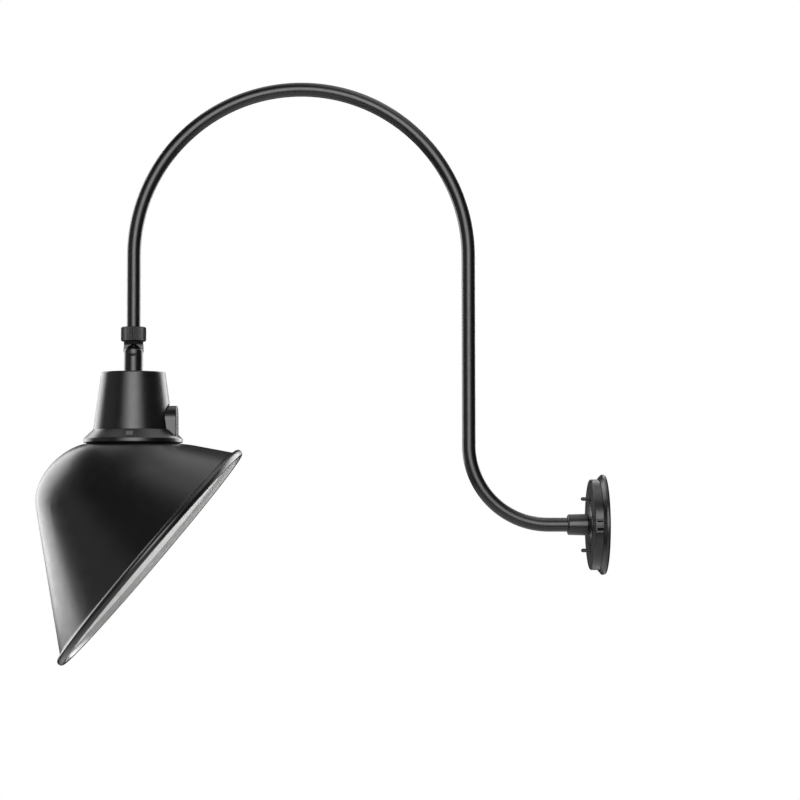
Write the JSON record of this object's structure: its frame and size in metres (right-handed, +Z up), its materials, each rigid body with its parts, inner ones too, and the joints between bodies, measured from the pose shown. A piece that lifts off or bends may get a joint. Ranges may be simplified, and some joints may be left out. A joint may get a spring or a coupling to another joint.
{
  "type": "gooseneck wall sconce",
  "caption": "Wall lamp: a tube rises from a round plate, arches over and carries a spun angle shade on a swivelling, tilting knuckle.",
  "frame": {"origin": "centre of the wall plate, on the wall's surface", "axes": "+Y into the wall, so the lamp reaches out along -Y; +Z up; +X along the wall; the lamp is symmetric about X = 0 except for the plate's side vents, the collar's set screw and the flare's plug"},
  "size_m": [0.3798, 0.7737, 0.7956],
  "materials": {
    "black_cast": "semi-gloss black powder coat over cast aluminium",
    "black_steel": "semi-gloss black powder coat over steel",
    "shade_enamel": "semi-gloss black outside and gloss white inside, over spun aluminium",
    "white_paint": "gloss white paint",
    "black_plastic": "satin dark grey plastic",
    "foam": "closed-cell black rubber foam",
    "zinc_steel": "bright zinc plate",
    "ground_green": "green paint over steel",
    "brass": "machined",
    "nylon": "natural nylon",
    "bare_aluminium": "satin, uncoated",
    "white_board": "white solder mask",
    "chip_yellow": "yellow phosphor over the chips",
    "frosted_glass": "frosted inside"
  },
  "bodies": {
    "arm": {"wall_gasket": "foam", "mounting_strap": "zinc_steel", "canopy_studs": "black_steel", "ground_screw": "ground_green", "wall_plate": "black_cast", "vent_foam": "foam", "plate_nuts": "black_steel", "cap_nuts": "black_steel", "arm_hub": "black_cast", "hub_lock_nut": "zinc_steel", "hub_set_screw": "black_steel", "arm_tube": "black_steel", "arm_ferrule": "brass"},
    "collar": {"lock_collar": "black_steel", "collar_set_screw": "black_steel"},
    "swivel": {"swivel_lug": "black_steel", "swivel_washer": "nylon", "neck_seal": "foam"},
    "head": {"lap_post": "black_steel", "pivot_washer": "zinc_steel", "pivot_screw": "black_steel", "pivot_nut": "black_steel", "post_washer": "foam", "post_lock_nut": "zinc_steel", "housing": "black_cast", "cover_gasket": "foam", "side_cover": "black_cast", "cover_screws": "black_steel", "flare_plug": "black_plastic", "heat_plate": "bare_aluminium", "heat_plate_screws": "zinc_steel", "led_driver": "bare_aluminium", "driver_screws": "zinc_steel", "led_board": "white_board", "board_screws": "zinc_steel", "led_chips": "chip_yellow", "lens_gasket": "foam", "lens": "frosted_glass", "lens_ring": "white_paint", "lens_ring_screws": "zinc_steel", "shade_gasket": "foam", "shade": "shade_enamel", "shade_ring": "white_paint", "shade_screws": "zinc_steel"}
  },
  "joints": [
    {"name": "collar_turn", "type": "hinge", "parent": "arm", "child": "collar", "pos_m": [0, -0.6412, 0.2597], "axis": [0, 0, 1], "range_deg": [-90, 10]},
    {"name": "head_swivel", "type": "hinge", "parent": "arm", "child": "swivel", "pos_m": [0, -0.6412, 0.2445], "axis": [0, 0, 1], "range_deg": [-175, 175]},
    {"name": "head_tilt", "type": "hinge", "parent": "swivel", "child": "head", "pos_m": [0, -0.6412, 0.2345], "axis": [1, 0, 0], "range_deg": [-35, 35]}
  ]
}
